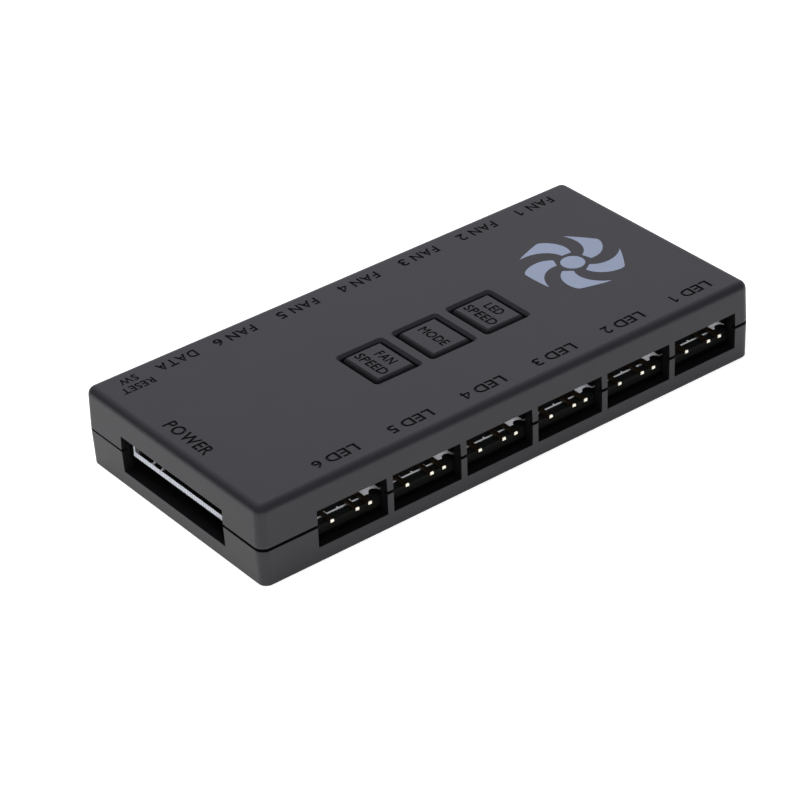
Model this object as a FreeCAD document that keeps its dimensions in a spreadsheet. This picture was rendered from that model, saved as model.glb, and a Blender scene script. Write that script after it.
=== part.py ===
"""Fan hub: a flat two-shell plastic case with six LED ports, six fan ports, a data port, a reset
port, a blade type power inlet and three push buttons over one circuit board.

Millimetres.  The origin is the middle of the underside, +X runs along the case away from the power
inlet, -Y is the side with the LED ports and +Z is up.
"""
import FreeCAD, Part
import math
import os
import re
import Sketcher

HEADER_PLACES = 4
RESET_PLACES = 2
POWER_CONTACTS = 15
CHIP_LEADS = 8
LED_SLOTS = (0, 2, 3)
FAN_SLOTS = (0, 1, 2, 3)
RESET_SLOTS = (0, 1)
BUTTONS = ("fan_speed", "mode", "led_speed")
LED_SIDE = -1
FAN_SIDE = 1

SIZES = {
    # Case
    "case_length": 105.0,
    "case_width": 50.0,
    "lower_height": 7.05,
    "upper_height": 7.95,
    "draft_angle": 1.5,
    "corner_radius": 1.8,
    "top_edge_radius": 1.2,
    "bottom_chamfer": 0.15,
    "wall": 2.0,
    "roof": 2.0,
    "base_thickness": 2.0,
    "seam_gap": 0.3,
    "lip_height": 1.0,
    "lip_thickness": 0.9,
    "lip_clearance": 0.1,
    "cut_margin": 1.0,
    # Ports in the case walls, placed from the ends of the case
    "port_bottom": 2.9,
    "port_height": 7.0,
    "led_pitch": 15.24,
    "led_near_end": 10.66,
    "led_far_end": 18.0,
    "led_port_width": 14.0,
    "fan_pitch": 13.27,
    "fan_near_end": 10.325,
    "fan_far_end": 28.2,
    "fan_port_width": 11.6,
    "data_end": 16.3,
    "data_port_width": 10.4,
    "reset_end": 6.8,
    "reset_port_width": 6.4,
    "power_port_width": 29.0,
    # Buttons and the switches under them
    "button_pitch": 11.75,
    "button_row_x": 0.65,
    "button_row_y": -2.3,
    "throat_length": 8.8,
    "throat_width": 10.5,
    "throat_radius": 0.2,
    "throat_chamfer": 0.5,
    "button_gap": 0.3,
    "button_radius": 0.7,
    "button_chamfer": 0.6,
    "button_skin": 1.2,
    "button_wall": 1.2,
    "flange_overhang": 0.9,
    "flange_thickness": 1.0,
    "flange_clearance": 0.1,
    "stem_side": 2.6,
    "switch_side": 6.0,
    "switch_height": 3.5,
    "plunger_diameter": 3.5,
    "plunger_length": 2.0,
    "plunger_clearance": 0.2,
    "plunger_socket": 1.0,
    "plunger_inset": 0.5,
    # Circuit board
    "board_top": 5.08,
    "board_thickness": 1.6,
    "board_clearance": 0.4,
    "board_hole": 0.9,
    # Pin headers
    "pin_pitch": 2.54,
    "pin_size": 0.64,
    "pin_tip": 0.16,
    "pin_bend": 1.0,
    "pin_tail": 0.9,
    "header_depth": 2.54,
    "header_height": 2.54,
    "header_chamfer": 0.5,
    "led_pin_recess": 0.5,
    "led_header_recess": 6.5,
    "fan_pin_recess": 1.2,
    "fan_header_recess": 6.9,
    "lock_width": 6.35,
    "lock_rise": 2.2,
    "lock_thickness": 0.9,
    "lock_reach": 4.6,
    # Power inlet
    "blade_length": 26.0,
    "blade_thickness": 1.1,
    "blade_bottom": 6.1,
    "blade_recess": 1.4,
    "key_thickness": 1.7,
    "key_rise": 1.9,
    "inlet_front": 8.0,
    "inlet_depth": 3.6,
    "inlet_height": 4.2,
    "notch_clearance": 0.4,
    "notch_edge": 0.66,
    "contact_pitch": 1.27,
    "contact_width": 0.84,
    "contact_thickness": 0.2,
    "contact_inset": 0.5,
    "contact_foot": 1.4,
    # Case screws
    "screw_far_end": 17.5,
    "screw_near_end": 6.5,
    "boss_diameter": 6.0,
    "pilot_diameter": 2.24,
    "pilot_depth": 6.5,
    "shank_diameter": 2.2,
    "shank_length": 8.5,
    "shank_hole": 2.7,
    "head_diameter": 4.4,
    "head_height": 1.5,
    "counterbore_diameter": 5.0,
    "counterbore_depth": 2.0,
    "recess_length": 2.4,
    "recess_width": 0.6,
    "recess_depth": 0.9,
    # Parts on the board
    "chip_end": 23.5,
    "chip_length": 10.2,
    "chip_width": 4.0,
    "chip_height": 1.6,
    "lead_pitch": 1.27,
    "lead_width": 0.42,
    "lead_reach": 1.0,
    "lead_thickness": 0.25,
    "driver_length": 3.0,
    "driver_width": 1.5,
    "driver_height": 1.1,
    "driver_offset": 3.0,
    "driver_y": 8.0,
    "capacitor_end": 25.5,
    "capacitor_y": -7.0,
    "capacitor_diameter": 6.3,
    "capacitor_height": 5.4,
}

LED_RUN = SIZES["case_length"] - SIZES["led_near_end"] - SIZES["led_far_end"]
LED_PORTS = 1 + int(LED_RUN / SIZES["led_pitch"])
FAN_RUN = SIZES["case_length"] - SIZES["fan_near_end"] - SIZES["fan_far_end"]
FAN_PORTS = 1 + int(FAN_RUN / SIZES["fan_pitch"])

doc = FreeCAD.newDocument("fan_hub")
sheet = doc.addObject("Spreadsheet::Sheet", "Sizes")
for line, (alias, size) in enumerate(SIZES.items(), start=1):
    sheet.set(f"A{line}", alias)
    sheet.set(f"B{line}", str(size))
    sheet.setAlias(f"B{line}", alias)
doc.recompute()

LOWER_RIM = "(lower_height - seam_gap / 2)"
UPPER_RIM = "(lower_height + seam_gap / 2)"
CASE_TOP = "(lower_height + upper_height)"
ROOF_UNDER = "(lower_height + upper_height - roof)"
BOARD_UNDER = "(board_top - board_thickness)"
PORT_TOP = "(port_bottom + port_height)"
PIN_AXIS = "(board_top + header_height / 2)"
CAVITY = ("case_length - 2 * wall", "case_width - 2 * wall", "(corner_radius - wall / 2)")
FLANGE_TOP = "(lower_height + upper_height - roof - flange_clearance)"
PLUNGER_TOP = "(board_top + switch_height + plunger_length)"
LED_FIRST = f"(case_length / 2 - led_near_end - {LED_PORTS - 1} * led_pitch)"
FAN_FIRST = f"(case_length / 2 - fan_near_end - {FAN_PORTS - 1} * fan_pitch)"
DATA_X = "(data_end - case_length / 2)"
RESET_X = "(reset_end - case_length / 2)"
NOTCH_SIDE = "(power_port_width / 2 + notch_clearance)"
RESET_RECESS = f"(case_width / 2 - {NOTCH_SIDE} - notch_edge - header_depth - pin_bend)"
BUTTON_FIRST = "(button_row_x - button_pitch)"
BLADE_TOP = "(blade_bottom + blade_thickness)"
POWER_FACE = "(-case_length / 2)"
SCREWS = [("(screw_far_end - case_length / 2)", "0"), ("(case_length / 2 - screw_near_end)", "0")]
CHIP_X = "(case_length / 2 - chip_end)"
CAPACITOR_X = "(capacitor_end - case_length / 2)"

nodes = []


def cells(text):
    """The expression with each size's name written as a cell of the sheet."""
    return re.sub(r"[a-z_]{3,}", lambda found: f"Sizes.{found.group()}", text)


def number(text):
    """What an expression comes to now."""
    return float(sheet.evalExpression(cells(text)))


def bind(thing, **properties):
    """Bind properties of an object to expressions of the sheet's sizes."""
    for name, text in properties.items():
        thing.setExpression(name.replace("__", "."), cells(text))
    return thing


def new_body(label, several=False):
    """An empty body; one of several solids is a group of like pieces."""
    body = doc.addObject("PartDesign::Body", label)
    body.AllowCompound = several
    return body


def origin(body, role):
    """A plane or axis of a body's own origin."""
    return next(thing for thing in body.Origin.OriginFeatures if thing.Role == role)


def new_sketch(body, name, plane, offset):
    """An empty sketch, parallel to a plane of the body's origin."""
    sketch = body.newObject("Sketcher::SketchObject", name)
    sketch.AttachmentSupport = (origin(body, plane), [""])
    sketch.MapMode = "FlatFace"
    return bind(sketch, AttachmentOffset__Base__z=offset)


def hold_point(sketch, geometry, end, x, y):
    """Tie one end of a line, or a circle's centre, to coordinates from the sheet."""
    for kind, text in (("DistanceX", x), ("DistanceY", y)):
        rule = Sketcher.Constraint(kind, -1, 1, geometry, end, number(text))
        index = sketch.addConstraint(rule)
        sketch.renameConstraint(index, f"size{index}")
        sketch.setExpression(f"Constraints.size{index}", cells(text))


def hold_radius(sketch, geometry, text):
    """Tie the radius of an arc or circle to the sheet."""
    index = sketch.addConstraint(Sketcher.Constraint("Radius", geometry, number(text)))
    sketch.renameConstraint(index, f"size{index}")
    sketch.setExpression(f"Constraints.size{index}", cells(text))


def add_outline(sketch, points):
    """A closed outline of straight sides through points given as pairs of expressions."""
    corners = [FreeCAD.Vector(number(x), number(y), 0) for x, y in points]
    first = sketch.GeometryCount
    count = len(points)
    for index in range(count):
        side = Part.LineSegment(corners[index], corners[(index + 1) % count])
        sketch.addGeometry(side)
    for index in range(count):
        after = first + (index + 1) % count
        sketch.addConstraint(Sketcher.Constraint("Coincident", first + index, 2, after, 1))
    for index, (x, y) in enumerate(points):
        hold_point(sketch, first + index, 1, x, y)
    return sketch


def add_rectangle(sketch, x, y, length, width):
    """A square-cornered rectangle about a point."""
    low_x, high_x = f"{x} - ({length}) / 2", f"{x} + ({length}) / 2"
    low_y, high_y = f"{y} - ({width}) / 2", f"{y} + ({width}) / 2"
    points = [(low_x, low_y), (high_x, low_y), (high_x, high_y), (low_x, high_y)]
    return add_outline(sketch, points)


def add_rounded(sketch, x, y, length, width, radius):
    """A rectangle with rounded corners about a point."""
    low_x, high_x = f"{x} - ({length}) / 2", f"{x} + ({length}) / 2"
    low_y, high_y = f"{y} - ({width}) / 2", f"{y} + ({width}) / 2"
    ends = [
        ((f"{low_x} + {radius}", low_y), (f"{high_x} - ({radius})", low_y)),
        ((high_x, f"{low_y} + {radius}"), (high_x, f"{high_y} - ({radius})")),
        ((f"{high_x} - ({radius})", high_y), (f"{low_x} + {radius}", high_y)),
        ((low_x, f"{high_y} - ({radius})"), (low_x, f"{low_y} + {radius}")),
    ]
    first = sketch.GeometryCount
    points = [[FreeCAD.Vector(number(u), number(v), 0) for u, v in pair] for pair in ends]
    bend = number(radius)
    inward = ((0, 1), (-1, 0), (0, -1), (1, 0))
    centres = [(pair[1], across, along) for pair, (across, along) in zip(points, inward)]
    for start, finish in points:
        sketch.addGeometry(Part.LineSegment(start, finish))
    for start, across, along in centres:
        middle = start + FreeCAD.Vector(across * bend, along * bend, 0)
        circle = Part.Circle(middle, FreeCAD.Vector(0, 0, 1), bend)
        turn = circle.parameter(start)
        sketch.addGeometry(Part.ArcOfCircle(circle, turn, turn + math.pi / 2))
    for index in range(4):
        line, arc, after = first + index, first + 4 + index, first + (index + 1) % 4
        sketch.addConstraint(Sketcher.Constraint("Tangent", line, 2, arc, 1))
        sketch.addConstraint(Sketcher.Constraint("Tangent", arc, 2, after, 1))
    hold_point(sketch, first, 1, *ends[0][0])
    hold_point(sketch, first + 1, 2, *ends[1][1])
    for index in range(3):
        sketch.addConstraint(Sketcher.Constraint("Equal", first + 4 + index, first + 5 + index))
    sketch.addConstraint(Sketcher.Constraint("Horizontal", first))
    sketch.addConstraint(Sketcher.Constraint("Vertical", first + 1))
    sketch.addConstraint(Sketcher.Constraint("Horizontal", first + 2))
    hold_radius(sketch, first + 4, radius)
    return sketch


def add_circles(sketch, centres, diameter):
    """Circles of one size about points given as pairs of expressions."""
    for x, y in centres:
        middle = FreeCAD.Vector(number(x), number(y), 0)
        circle = Part.Circle(middle, FreeCAD.Vector(0, 0, 1), number(diameter) / 2)
        index = sketch.addGeometry(circle)
        hold_point(sketch, index, 3, x, y)
        hold_radius(sketch, index, f"{diameter} / 2")
    return sketch


def feature(body, kind, sketch, length, back=False, **properties):
    """A pad or pocket of a sketch, which becomes the body's tip."""
    made = body.newObject(f"PartDesign::{kind}", f"{sketch.Name}_{kind.lower()}")
    made.Profile = sketch
    made.Reversed = back
    bind(made, Length=length, **properties)
    body.Tip = made
    doc.recompute()
    return made


def row(body, original, spacing, count):
    """A row of copies of one pad or pocket along X."""
    made = body.newObject("PartDesign::LinearPattern", f"{original.Name}_row")
    made.Originals = [original]
    made.Direction = (origin(body, "X_Axis"), [""])
    made.Occurrences = count
    bind(made, Length=f"{count - 1} * {spacing}")
    body.Tip = made
    doc.recompute()
    return made


def level_edges(shape, height, inside=None):
    """Names of the edges that lie at a height, and inside a half length and half width if given."""
    names = []
    for index, edge in enumerate(shape.Edges, start=1):
        box = edge.BoundBox
        level = abs(box.ZMin - height) < 1e-4 and abs(box.ZMax - height) < 1e-4
        far = max(abs(box.XMin), abs(box.XMax)), max(abs(box.YMin), abs(box.YMax))
        if level and (inside is None or (far[0] < inside[0] and far[1] < inside[1])):
            names.append(f"Edge{index}")
    return names


def dress(body, kind, edges, **properties):
    """A fillet or chamfer on edges of the body's tip."""
    base = body.Tip
    made = body.newObject(f"PartDesign::{kind}", f"{base.Name}_{kind.lower()}")
    made.Base = (base, edges)
    bind(made, **properties)
    body.Tip = made
    doc.recompute()
    return made


def box(label, low, size):
    """A block from its low corner and its three sides."""
    made = bind(doc.addObject("Part::Box", label), Length=size[0], Width=size[1], Height=size[2])
    return bind(made, Placement__Base__x=low[0], Placement__Base__y=low[1], Placement__Base__z=low[2])


def upright(label, base, diameter, height):
    """An upright cylinder on a point."""
    made = bind(doc.addObject("Part::Cylinder", label), Radius=f"{diameter} / 2", Height=height)
    return bind(made, Placement__Base__x=base[0], Placement__Base__y=base[1], Placement__Base__z=base[2])


def cut(label, base, *tools):
    """One solid less others."""
    made = doc.addObject("Part::Cut", label)
    made.Base = base
    made.Tool = tools[0] if len(tools) == 1 else joined(f"{label}_tools", *tools)
    return made


def joined(label, *pieces):
    """Several solids made one."""
    made = doc.addObject("Part::MultiFuse", label)
    made.Shapes = list(pieces)
    return made


def group(label, pieces):
    """Several like pieces kept as separate solids of one node."""
    made = doc.addObject("Part::Compound", label)
    made.Links = pieces
    return made


def node(piece, label):
    """Name a finished sub-part; its label is also its file's name."""
    piece.Label = label
    nodes.append(piece)
    return piece


def cut_ports(body):
    """Cut every port through the walls of a shell."""
    reach = "(wall + lip_thickness + 2 * cut_margin)"
    middle = f"({PORT_TOP} + port_bottom) / 2"
    outside = "(case_width / 2 + cut_margin)"
    rows = (
        ("led_port", outside, False, LED_FIRST, "led_port_width", "led_pitch", LED_PORTS),
        ("fan_port", f"-{outside}", True, FAN_FIRST, "fan_port_width", "fan_pitch", FAN_PORTS),
        ("data_port", f"-{outside}", True, DATA_X, "data_port_width", None, 1),
        ("reset_port", f"-{outside}", True, RESET_X, "reset_port_width", None, 1),
    )
    for name, plane, back, x, width, spacing, count in rows:
        sketch = new_sketch(body, f"{body.Name}_{name}", "XZ_Plane", plane)
        add_rectangle(sketch, x, middle, width, "port_height")
        opening = feature(body, "Pocket", sketch, reach, back)
        if count > 1:
            row(body, opening, spacing, count)
    sketch = new_sketch(body, f"{body.Name}_power_port", "YZ_Plane", f"{POWER_FACE} - cut_margin")
    add_rectangle(sketch, "0", middle, "power_port_width", "port_height")
    feature(body, "Pocket", sketch, reach, True)


def make_lower_shell():
    """The tray: drafted walls, an inner lip, board pillars and counterbored screw holes."""
    body = new_body("lower_shell")
    plan = add_rounded(new_sketch(body, "lower_plan", "XY_Plane", LOWER_RIM),
                       "0", "0", "case_length", "case_width", "corner_radius")
    feature(body, "Pad", plan, LOWER_RIM, True, TaperAngle="-draft_angle")
    dress(body, "Chamfer", level_edges(body.Tip.Shape, 0), Size="bottom_chamfer")
    hollow = add_rounded(new_sketch(body, "lower_hollow", "XY_Plane", LOWER_RIM), "0", "0", *CAVITY)
    feature(body, "Pocket", hollow, f"{LOWER_RIM} - base_thickness")
    ring = new_sketch(body, "lip", "XY_Plane", LOWER_RIM)
    add_rounded(ring, "0", "0", *CAVITY)
    grown = "2 * lip_thickness"
    add_rounded(ring, "0", "0", f"{CAVITY[0]} + {grown}", f"{CAVITY[1]} + {grown}",
                f"({CAVITY[2]} + lip_thickness)")
    feature(body, "Pad", ring, "seam_gap + lip_height")
    pillars = new_sketch(body, "pillars", "XY_Plane", "base_thickness")
    add_circles(pillars, SCREWS, "boss_diameter")
    feature(body, "Pad", pillars, f"{BOARD_UNDER} - base_thickness")
    shanks = add_circles(new_sketch(body, "shank_holes", "XY_Plane", "0"), SCREWS, "shank_hole")
    feature(body, "Pocket", shanks, "board_top", True)
    bores = new_sketch(body, "counterbores", "XY_Plane", "0")
    add_circles(bores, SCREWS, "counterbore_diameter")
    feature(body, "Pocket", bores, "counterbore_depth", True)
    cut_ports(body)
    return node(body, "lower_shell")


def make_upper_shell():
    """The lid: drafted walls, a rebate over the lip, screw posts and three button throats."""
    body = new_body("upper_shell")
    plan = add_rounded(new_sketch(body, "upper_plan", "XY_Plane", UPPER_RIM),
                       "0", "0", "case_length", "case_width", "corner_radius")
    feature(body, "Pad", plan, f"{CASE_TOP} - {UPPER_RIM}", TaperAngle="-draft_angle")
    dress(body, "Fillet", level_edges(body.Tip.Shape, number(CASE_TOP)), Radius="top_edge_radius")
    hollow = add_rounded(new_sketch(body, "upper_hollow", "XY_Plane", UPPER_RIM), "0", "0", *CAVITY)
    feature(body, "Pocket", hollow, f"{ROOF_UNDER} - {UPPER_RIM}", True)
    grown = "2 * (lip_thickness + lip_clearance)"
    rebate = add_rounded(new_sketch(body, "rebate", "XY_Plane", UPPER_RIM), "0", "0",
                         f"{CAVITY[0]} + {grown}", f"{CAVITY[1]} + {grown}",
                         f"({CAVITY[2]} + lip_thickness + lip_clearance)")
    feature(body, "Pocket", rebate, "lip_height", True)
    posts = add_circles(new_sketch(body, "posts", "XY_Plane", "board_top"), SCREWS, "boss_diameter")
    feature(body, "Pad", posts, f"{ROOF_UNDER} - board_top")
    pilots = new_sketch(body, "pilot_holes", "XY_Plane", "board_top")
    add_circles(pilots, SCREWS, "pilot_diameter")
    feature(body, "Pocket", pilots, "pilot_depth", True)
    throat = add_rounded(new_sketch(body, "throat", "XY_Plane", CASE_TOP), BUTTON_FIRST, "button_row_y",
                         "throat_length", "throat_width", "throat_radius")
    opening = feature(body, "Pocket", throat, "roof + cut_margin")
    row(body, opening, "button_pitch", len(BUTTONS))
    inside = [number(f"{side} / 2 - 3 * top_edge_radius") for side in ("case_length", "case_width")]
    rims = level_edges(body.Tip.Shape, number(CASE_TOP), inside)
    dress(body, "Chamfer", rims, Size="throat_chamfer")
    cut_ports(body)
    return node(body, "upper_shell")


def pin_places(x, count, slots, side, header_recess):
    """Where the pins of one header go through the board."""
    y = f"{side} * (case_width / 2 - {header_recess} - header_depth - pin_bend)"
    return [(f"{x} + ({slot} - {count - 1} / 2) * pin_pitch", y) for slot in slots]


def make_board():
    """The circuit board with its holes and the notch that lets the power plug pass."""
    body = new_body("circuit_board")
    length, width = [f"{side} - 2 * board_clearance" for side in CAVITY[:2]]
    plan = new_sketch(body, "board_plan", "XY_Plane", BOARD_UNDER)
    add_rounded(plan, "0", "0", length, width, CAVITY[2])
    feature(body, "Pad", plan, "board_thickness")
    notch = add_rectangle(new_sketch(body, "power_notch", "XY_Plane", "board_top"),
                          POWER_FACE, "0", "2 * inlet_front", f"2 * {NOTCH_SIDE}")
    feature(body, "Pocket", notch, "board_thickness")
    fixings = add_circles(new_sketch(body, "screw_holes", "XY_Plane", "board_top"), SCREWS, "shank_hole")
    feature(body, "Pocket", fixings, "board_thickness")
    led = pin_places(LED_FIRST, HEADER_PLACES, LED_SLOTS, LED_SIDE, "led_header_recess")
    fan = pin_places(FAN_FIRST, HEADER_PLACES, FAN_SLOTS, FAN_SIDE, "fan_header_recess")
    data = pin_places(DATA_X, HEADER_PLACES, LED_SLOTS, FAN_SIDE, "fan_header_recess")
    reset = pin_places(RESET_X, RESET_PLACES, RESET_SLOTS, FAN_SIDE, RESET_RECESS)
    rows = (
        ("led_holes", led, "led_pitch", LED_PORTS),
        ("fan_holes", fan, "fan_pitch", FAN_PORTS),
        ("data_holes", data, None, 1),
        ("reset_holes", reset, None, 1),
    )
    for name, places, spacing, count in rows:
        sketch = new_sketch(body, name, "XY_Plane", "board_top")
        for x, y in places:
            add_rectangle(sketch, x, y, "board_hole", "board_hole")
        holes = feature(body, "Pocket", sketch, "board_thickness")
        if count > 1:
            row(body, holes, spacing, count)
    return node(body, "circuit_board")


def make_header(label, x, count, side, recess, lock):
    """The plastic block of a right-angle pin header, with a lock tongue over the pins of a fan port."""
    body = new_body(label)
    front = f"({side} * -1 * (case_width / 2 - {recess}))"
    into_case = side == LED_SIDE
    first = f"({x} - {count - 1} / 2 * pin_pitch)"
    low_x, high_x = f"{first} - pin_pitch / 2", f"{first} + pin_pitch / 2"
    low_z, high_z = "board_top", "board_top + header_height"
    bevel = "header_chamfer"
    block = add_outline(new_sketch(body, f"{label}_block", "XZ_Plane", front), [
        (f"{low_x} + {bevel}", low_z), (f"{high_x} - {bevel}", low_z),
        (high_x, f"{low_z} + {bevel}"), (high_x, f"{high_z} - {bevel}"),
        (f"{high_x} - {bevel}", high_z), (f"{low_x} + {bevel}", high_z),
        (low_x, f"{high_z} - {bevel}"), (low_x, f"{low_z} + {bevel}"),
    ])
    row(body, feature(body, "Pad", block, "header_depth", into_case), "pin_pitch", count)
    if lock:
        def depth(distance):
            return f"{side} * (case_width / 2 - {recess} - ({distance}))"
        under, over = f"{high_z} + lock_rise - lock_thickness", f"{high_z} + lock_rise"
        left = f"{x} - {count} / 2 * pin_pitch"
        tongue = add_outline(new_sketch(body, f"{label}_lock", "YZ_Plane", left), [
            (depth("header_depth / 2"), PIN_AXIS), (depth("header_depth"), PIN_AXIS),
            (depth("header_depth"), over), (depth("-lock_reach"), over),
            (depth("-lock_reach"), f"{under} - lock_thickness / 2"),
            (depth("lock_thickness - lock_reach"), under), (depth("header_depth / 2"), under),
        ])
        feature(body, "Pad", tongue, "lock_width")
    bore = add_rectangle(new_sketch(body, f"{label}_bore", "XZ_Plane", front),
                         first, PIN_AXIS, "pin_size", "pin_size")
    row(body, feature(body, "Pocket", bore, "header_depth", not into_case), "pin_pitch", count)
    return node(body, label)


def make_pins(label, x, count, slots, side, tip, recess):
    """The bent square pins of one header, from their tips down through the board."""
    body = new_body(label, several=True)
    bend = f"{recess} + header_depth + pin_bend"
    tail = f"{BOARD_UNDER} - pin_tail"
    half, taper = "pin_size / 2", "pin_tip"
    low, high = f"{PIN_AXIS} - {half}", f"{PIN_AXIS} + {half}"

    def depth(distance):
        return f"{side} * (case_width / 2 - ({distance}))"

    for slot in slots:
        flank = f"{x} + ({slot} - {count - 1} / 2) * pin_pitch - {half}"
        sketch = add_outline(new_sketch(body, f"{label}_bend_{slot}", "YZ_Plane", flank), [
            (depth(tip), f"{low} + {taper}"), (depth(f"{tip} + {taper}"), low),
            (depth(f"{bend} - {half}"), low), (depth(f"{bend} - {half}"), tail),
            (depth(f"{bend} + {half}"), tail), (depth(f"{bend} + {half}"), f"{high} - 2 * {taper}"),
            (depth(f"{bend} + {half} - 2 * {taper}"), high), (depth(f"{tip} + {taper}"), high),
            (depth(tip), f"{high} - {taper}"),
        ])
        feature(body, "Pad", sketch, "pin_size")
    return node(body, label)


def make_connectors():
    """Every pin header: six LED ports counted from the far end, six fan ports, data and reset."""
    for port in range(1, LED_PORTS + 1):
        x = f"({LED_FIRST} + {LED_PORTS - port} * led_pitch)"
        make_header(f"led_header_{port}", x, HEADER_PLACES, LED_SIDE, "led_header_recess", False)
        make_pins(f"led_pins_{port}", x, HEADER_PLACES, LED_SLOTS, LED_SIDE,
                  "led_pin_recess", "led_header_recess")
    for port in range(1, FAN_PORTS + 1):
        x = f"({FAN_FIRST} + {FAN_PORTS - port} * fan_pitch)"
        make_header(f"fan_header_{port}", x, HEADER_PLACES, FAN_SIDE, "fan_header_recess", True)
        make_pins(f"fan_pins_{port}", x, HEADER_PLACES, FAN_SLOTS, FAN_SIDE,
                  "fan_pin_recess", "fan_header_recess")
    make_header("data_header", DATA_X, HEADER_PLACES, FAN_SIDE, "fan_header_recess", False)
    make_pins("data_pins", DATA_X, HEADER_PLACES, LED_SLOTS, FAN_SIDE,
              "fan_pin_recess", "fan_header_recess")
    make_header("reset_header", RESET_X, RESET_PLACES, FAN_SIDE, RESET_RECESS, False)
    make_pins("reset_pins", RESET_X, RESET_PLACES, RESET_SLOTS, FAN_SIDE,
              "fan_pin_recess", RESET_RECESS)


def make_power_inlet():
    """The blade type power inlet: a keyed insulator on the board edge and its row of contacts."""
    body = new_body("power_inlet")
    front = f"{POWER_FACE} + inlet_front"
    back = f"{front} + inlet_depth"
    block = add_rectangle(new_sketch(body, "inlet_block", "YZ_Plane", front), "0",
                          "board_top + inlet_height / 2", "blade_length", "inlet_height")
    feature(body, "Pad", block, "inlet_depth")
    half, key_inner = "blade_length / 2", "blade_length / 2 - key_thickness"
    key_top = f"{BLADE_TOP} + key_rise"
    blade = add_outline(new_sketch(body, "inlet_blade", "YZ_Plane", f"{POWER_FACE} + blade_recess"), [
        (f"-{half}", "blade_bottom"), (half, "blade_bottom"), (half, key_top), (key_inner, key_top),
        (key_inner, BLADE_TOP), (f"-{half}", BLADE_TOP),
    ])
    feature(body, "Pad", blade, "inlet_front - blade_recess + inlet_depth / 2")
    start = f"-{POWER_CONTACTS - 1} / 2 * contact_pitch"
    sheet_low, sheet_high = BLADE_TOP, f"{BLADE_TOP} + contact_thickness"
    contacts = new_body("power_contacts", several=True)
    nose = f"{POWER_FACE} + blade_recess + contact_inset"
    heel = f"{back} + contact_thickness"
    toe = f"{heel} + contact_foot"
    for index in range(POWER_CONTACTS):
        flank = f"({start} + {index} * contact_pitch + contact_width / 2)"
        strip = add_outline(new_sketch(contacts, f"contact_{index}", "XZ_Plane", f"-{flank}"), [
            (nose, sheet_low), (back, sheet_low), (back, "board_top"), (toe, "board_top"),
            (toe, "board_top + contact_thickness"), (heel, "board_top + contact_thickness"),
            (heel, sheet_high), (nose, sheet_high),
        ])
        feature(contacts, "Pad", strip, "contact_width")
        slot = add_rectangle(new_sketch(body, f"contact_slot_{index}", "YZ_Plane", front),
                             f"{start} + {index} * contact_pitch", f"({sheet_low} + {sheet_high}) / 2",
                             "contact_width", "contact_thickness")
        feature(body, "Pocket", slot, "inlet_depth", True)
    node(body, "power_inlet")
    node(contacts, "power_contacts")


def make_button(name, place):
    """One button cap with its retaining flange and stem, and the switch it works."""
    x, y = f"(button_row_x + {place - 1} * button_pitch)", "button_row_y"
    label = f"{name}_button"
    body = new_body(label)
    length, width = "throat_length - 2 * button_gap", "throat_width - 2 * button_gap"
    flange_low = f"{FLANGE_TOP} - flange_thickness"
    flange = add_rectangle(new_sketch(body, f"{label}_flange", "XY_Plane", flange_low), x, y,
                           "throat_length + 2 * flange_overhang", "throat_width + 2 * flange_overhang")
    feature(body, "Pad", flange, "flange_thickness")
    cap = new_sketch(body, f"{label}_cap", "XY_Plane", FLANGE_TOP)
    add_rounded(cap, x, y, length, width, "button_radius")
    feature(body, "Pad", cap, f"{CASE_TOP} - {FLANGE_TOP}")
    dress(body, "Chamfer", level_edges(body.Tip.Shape, number(CASE_TOP)), Size="button_chamfer")
    hollow = add_rectangle(new_sketch(body, f"{label}_hollow", "XY_Plane", flange_low), x, y,
                           f"{length} - 2 * button_wall", f"{width} - 2 * button_wall")
    feature(body, "Pocket", hollow, f"{CASE_TOP} - button_skin - {FLANGE_TOP} + flange_thickness", True)
    stem = new_sketch(body, f"{label}_stem", "XY_Plane", PLUNGER_TOP)
    add_rectangle(stem, x, y, "stem_side", "stem_side")
    feature(body, "Pad", stem, f"{CASE_TOP} - button_skin / 2 - {PLUNGER_TOP}")
    node(body, label)

    side = "switch_side"
    case = box(f"{name}_switch_block", (f"{x} - {side} / 2", f"{y} - {side} / 2", "board_top"),
               (side, side, "switch_height"))
    socket_floor = "board_top + switch_height - plunger_socket - plunger_inset"
    socket_depth = "plunger_socket + plunger_inset + cut_margin"
    socket = upright(f"{name}_switch_socket", (x, y, socket_floor),
                     "(plunger_diameter + 2 * plunger_clearance)", socket_depth)
    node(cut(f"{name}_switch", case, socket), f"{name}_switch")
    plunger = upright(f"{name}_plunger", (x, y, "board_top + switch_height - plunger_socket"),
                      "plunger_diameter", "plunger_socket + plunger_length")
    node(plunger, f"{name}_plunger")


def make_screws():
    """Two self-tapping screws that clamp the board between pillars and posts from below."""
    screws = []
    for index, (x, y) in enumerate(SCREWS):
        name = f"screw_{index}"
        seat = "counterbore_depth"
        head = upright(f"{name}_head", (x, y, f"{seat} - head_height"), "head_diameter", "head_height")
        shank = upright(f"{name}_shank", (x, y, f"{seat} - head_height / 2"), "shank_diameter",
                        "shank_length + head_height / 2")
        low = f"{seat} - head_height - cut_margin"
        deep = "recess_depth + cut_margin"
        along = box(f"{name}_recess_x", (f"{x} - recess_length / 2", f"{y} - recess_width / 2", low),
                    ("recess_length", "recess_width", deep))
        across = box(f"{name}_recess_y", (f"{x} - recess_width / 2", f"{y} - recess_length / 2", low),
                     ("recess_width", "recess_length", deep))
        screws.append(cut(name, joined(f"{name}_blank", head, shank), along, across))
    node(group("case_screws", screws), "case_screws")


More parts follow.
